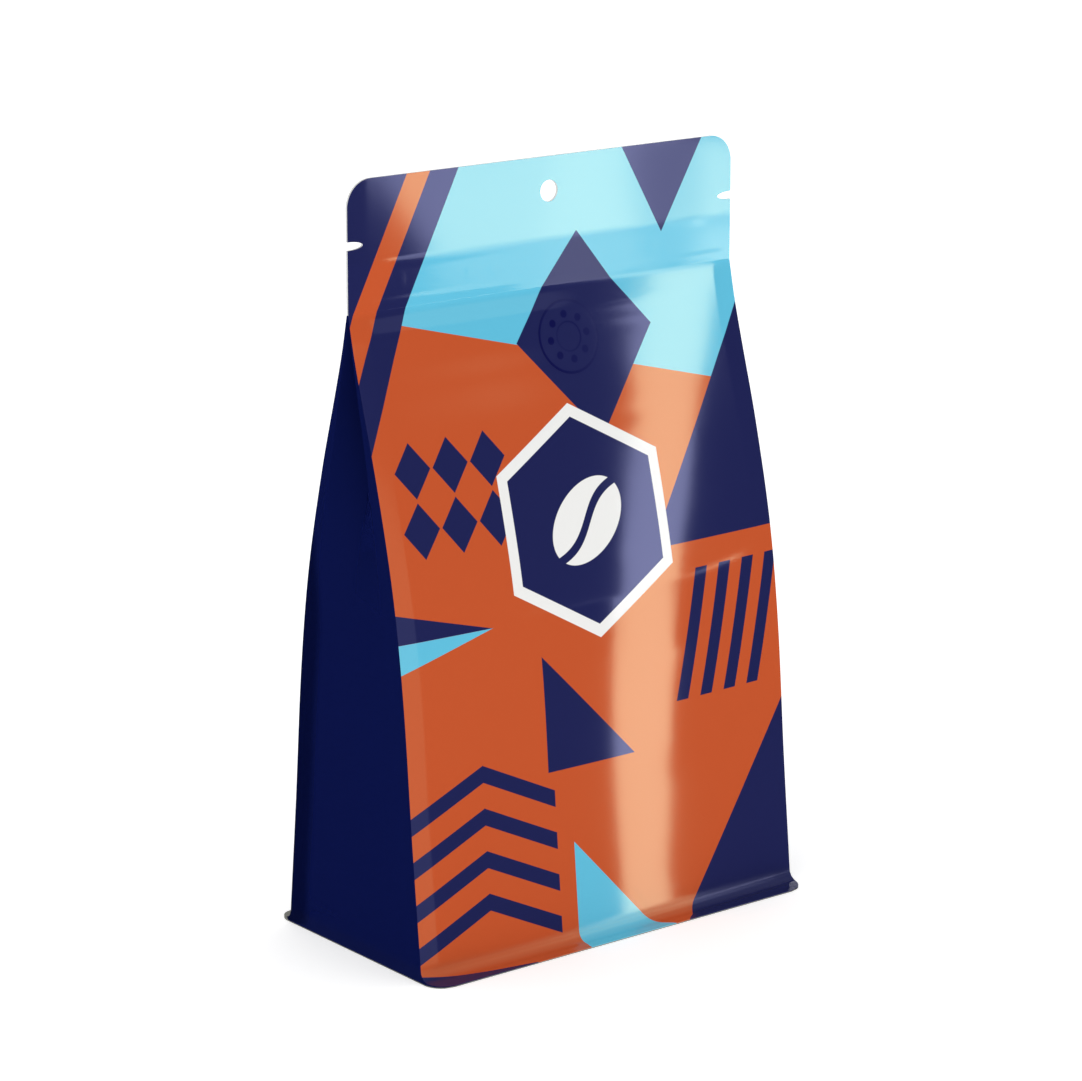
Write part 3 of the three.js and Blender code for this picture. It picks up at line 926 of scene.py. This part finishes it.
def make_valve():
    """The one-way valve: a disc in the panel's pocket whose film-covered face follows the panel."""
    segments = VALVE_SEGMENTS
    lip_reach, lip_underside, lip_top = VALVE_LIP
    lip_radius = VALVE_RADIUS + VALVE_GAP + lip_reach
    angles = np.arange(segments) * 2 * np.pi / segments
    radii = np.linspace(0, lip_radius, VALVE_RINGS + 1)[1:]
    r, a = np.meshgrid(radii, angles, indexing="ij")
    x, y = (r * np.cos(a)).ravel(), (r * np.sin(a)).ravel()
    marks = valve_marks(x, y)
    fall = smoothstep(r.ravel(), VALVE_RADIUS - VALVE_EDGE_RUN, lip_radius)
    top = VALVE_PROUD - (VALVE_PROUD - lip_top) * fall - PRESSED_DEPTH * marks
    rows = [[[0, 0, VALVE_PROUD]], np.column_stack([x, y, top])]
    under = (  # radius and height of each ring under the face
        (lip_radius, lip_underside),
        (VALVE_RADIUS, lip_underside),
        (VALVE_RADIUS, VALVE_GAP - VALVE_POCKET_DEPTH),
    )
    for radius, height in under:
        circle = [radius * np.cos(angles), radius * np.sin(angles), np.full(segments, height)]
        rows.append(np.column_stack(circle))
    form = np.vstack(rows)
    # each point moves by as much as the panel lies before or behind the flat place of the valve
    flat = at_valve(form * [1, 1, 0])
    vertices = at_valve(form)
    vertices[:, 1] -= edge_half_depth(flat[:, 2]) + panel_rise(flat[:, 0], flat[:, 2]) + flat[:, 1]
    faces = [[0, 1 + i, 1 + (i + 1) % segments] for i in range(segments)]
    for k in range(VALVE_RINGS + len(under) - 1):
        inner, outer = 1 + k * segments, 1 + (k + 1) * segments
        for i in range(segments):
            j = (i + 1) % segments
            faces.append([inner + i, outer + i, outer + j, inner + j])
    floor_start = len(form) - segments
    faces.append([floor_start + i for i in range(segments)][::-1])
    valve = mesh_piece("valve_under_film", vertices, faces, [valve_print_with_painted_shade("satin_print_over_valve_painted_shade")])
    # painted shade: the marks on the face, and full shade on the sides and under it
    painted_groove_shade = np.concatenate([[0], marks, np.ones(len(under) * segments)])
    mark = valve.data.attributes.new("painted_groove_shade", "FLOAT", "POINT")
    mark.data.foreach_set("value", painted_groove_shade.astype(np.float32))
    add_film_coordinates(valve)
    smooth_shade(valve, crease_angle=50)
    return valve


# ---- stage ----

FLOOR_REACH = 9000
FLOOR_GLOW = 0.385  # lifts the floor to a clean white
WORLD_STRENGTH = 0.93
HORIZON = -0.03  # just past the real one, so that no dark line shows at the floor's far edge

# How far the lamps and the cards stand from the pouch's middle.
FAR, NEAR, CARD = 1200, 900, 450


def upright(left, right, low, high):
    """Outline of an upright lamp between two azimuths and two heights."""
    return [(left, low), (right, low), (right, high), (left, high)]


BAND = [
    # its left edge, downwards
    (43.1, 600), (42.6, 550), (41.9, 485), (41.7, 462), (41.25, 446), (41.3, 425), (40.8, 400),
    (39.9, 300), (38.8, 200), (38.4, 100), (37.95, 0), (37.75, -60), (37.65, -100),
    (37.5, -150), (37.4, -190), (37.35, -215), (37.3, -250), (37.8, -300), (38.3, -350),
    (38.8, -400), (40.2, -520),
    # its right edge, upwards
    (43.4, -520), (42.3, -400), (41.3, -350), (40.7, -300), (40.1, -250), (40.3, -217),
    (40.6, -204), (41.1, -187), (41.8, -170), (42, -140), (42, -90), (42.1, 0), (42.3, 100),
    (42.6, 200), (43, 300), (43.6, 360), (44, 400), (44.5, 460), (45.6, 520), (46.4, 570),
    (47, 600),
]
# Over the foot's bend the mirrored view swings up and round, and the band goes on along that path.
BAND_OVER_FOOT = [
    (41, 597), (45, 801), (49.4, 975), (56.7, 1202), (66.3, 1418), (78.3, 1576), (91.6, 1622),
    (104.7, 1534), (117.9, 1307), (117.8, 1257), (105.1, 1458), (92.7, 1531), (80.1, 1486),
    (68.8, 1341), (59.5, 1144), (52.5, 933), (48.2, 768), (44.2, 574),
]
HEADER = [
    (31.9, 92), (33, 66), (33.5, 55), (33.9, 45), (34.4, 35), (34.9, 25), (35.3, 5),
    (38.4, 5), (38.4, 25), (38.4, 35), (38.4, 45), (38.4, 55), (38.4, 66), (38.4, 92),
]
PANELS = [  # name, distance, outline, radiance
    ("band_softbox", FAR, BAND, 5.2),
    ("crease_softbox", FAR, upright(21.6, 23.6, -260, 520), 0.45),
    ("shoulder_softbox", FAR, [(33, 494), (33, 560), (41, 560), (39.6, 494)], 0.4),
    ("foot_softbox", FAR, BAND_OVER_FOOT, 9),
    ("header_softbox", NEAR, HEADER, 4.4),
    ("header_fill", NEAR, upright(41.6, 43.6, 4, 92), 2.6),
    ("header_edge_light", NEAR, upright(43.6, 46.4, 46, 92), 4.4),
    ("zip_edge_light", NEAR, upright(43.6, 46.4, 4, 46), 9),
    ("front_softbox", FAR, [(3.4, -520), (6.6, -520), (7.4, 900), (4.4, 900)], 5),
    ("rear_softbox", FAR, upright(132, 138, -520, 600), 5),
    (
        "overhead_softbox", NEAR,
        [(25, 545), (60, 545), (100, 545), (100, 1500), (60, 1500), (25, 1500)], 0.28,
    ),
    # black cards keep the header's lamps out of the body's gloss, and leave the band's lamp free
    (
        "left_card", CARD,
        [(36.5, 36), (36.95, 60), (37, 95), (22, 95), (22, 60), (22, 36)], 0,
    ),
    (
        "right_card", CARD,
        [(52, 36), (52, 75), (52, 95), (42.7, 95), (42.5, 75), (41.9, 36)], 0,
    ),
]


def make_floor():
    """A plain pale studio floor, matt."""
    material, tree = new_material("matt_white_floor")
    shader = add(tree, "ShaderNodeBsdfPrincipled", {
        "Base Color": srgb("F4F4F4"), "Roughness": 0.9, "Specular IOR Level": 0,
        "Emission Color": srgb("FFFFFF"), "Emission Strength": FLOOR_GLOW,
    })
    add(tree, "ShaderNodeOutputMaterial", {"Surface": shader})
    reach = FLOOR_REACH
    corners = [[-reach, -reach, 0], [reach, -reach, 0], [reach, reach, 0], [-reach, reach, 0]]
    floor = mesh_piece("studio_floor", corners, [[0, 1, 2, 3]], [material])
    floor.visible_glossy = False
    floor.visible_shadow = False


def make_world():
    """Even light from all round above the floor, which the film's gloss doesn't see."""
    world = bpy.data.worlds.new("even_studio_light")
    world.use_nodes = True
    tree = world.node_tree
    tree.nodes.clear()
    direction = add(tree, "ShaderNodeTexCoord", output="Generated")
    up = add(tree, "ShaderNodeSeparateXYZ", {"Vector": direction}, "Z")
    above = add(tree, "ShaderNodeMath", {0: up, 1: HORIZON}, operation="GREATER_THAN")
    strength = add(tree, "ShaderNodeMath", {0: above, 1: WORLD_STRENGTH}, operation="MULTIPLY")
    light = add(tree, "ShaderNodeBackground", {"Color": srgb("FFFFFF"), "Strength": strength})
    add(tree, "ShaderNodeOutputWorld", {"Surface": light})
    world.cycles_visibility.glossy = False
    bpy.context.scene.world = world


def studio_panel(name, distance, outline, radiance):
    """A soft panel lamp, or a black card where the radiance is 0, seen only in the film's gloss.

    The outline is (azimuth, height) points, along one edge and back along the other, as many on each.
    Azimuth 0 is in front of the pouch and 90 to its right.
    """
    material, tree = new_material(name + "_face")
    glow = add(tree, "ShaderNodeEmission", {"Color": srgb("FFFDF6"), "Strength": radiance})
    add(tree, "ShaderNodeOutputMaterial", {"Surface": glow})
    corners = []
    for azimuth, height in outline:
        a = math.radians(azimuth)
        corners.append([distance * math.sin(a), -distance * math.cos(a), height])
    last = len(corners) - 1
    strip = [[i, i + 1, last - 1 - i, last - i] for i in range(last // 2)]
    panel = mesh_piece(name, corners, strip, [material])
    panel.visible_camera = False
    panel.visible_diffuse = False


def make_camera():
    """The photograph's view: a long lens from the front left, slightly above."""
    azimuth, elevation, roll = math.radians(-38.51), math.radians(14.67), math.radians(0.09)
    distance, focal_pixels, image_width = 1136.3, 3894, 1082
    aim_right, aim_up = -1.08, -0.75  # where the lens aims, from the pouch's middle
    back = Vector((
        math.sin(azimuth) * math.cos(elevation),
        -math.cos(azimuth) * math.cos(elevation),
        math.sin(elevation),
    ))
    right = Vector((math.cos(azimuth), math.sin(azimuth), 0))
    up = back.cross(right)
    place = Vector((0, 0, HEIGHT / 2)) + back * distance + right * aim_right + up * aim_up
    camera = bpy.data.objects.new("camera", bpy.data.cameras.new("camera"))
    camera.data.sensor_width = 36
    camera.data.lens = focal_pixels / image_width * camera.data.sensor_width
    turned = Matrix((right, up, back)).transposed() @ Matrix.Rotation(roll, 3, "Z")
    camera.matrix_world = Matrix.Translation(place * MM) @ turned.to_4x4()
    bpy.context.scene.collection.objects.link(camera)
    bpy.context.scene.camera = camera


make_camera()
make_floor()
make_world()
for name, distance, outline, radiance in PANELS:
    studio_panel(name, distance, outline, radiance)
bpy.context.scene.view_settings.view_transform = "Standard"

pouch = make_pouch()
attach(pouch, "root")
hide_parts("pouch_body")

valve = make_valve()
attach(valve, "root")
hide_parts("degassing_valve")
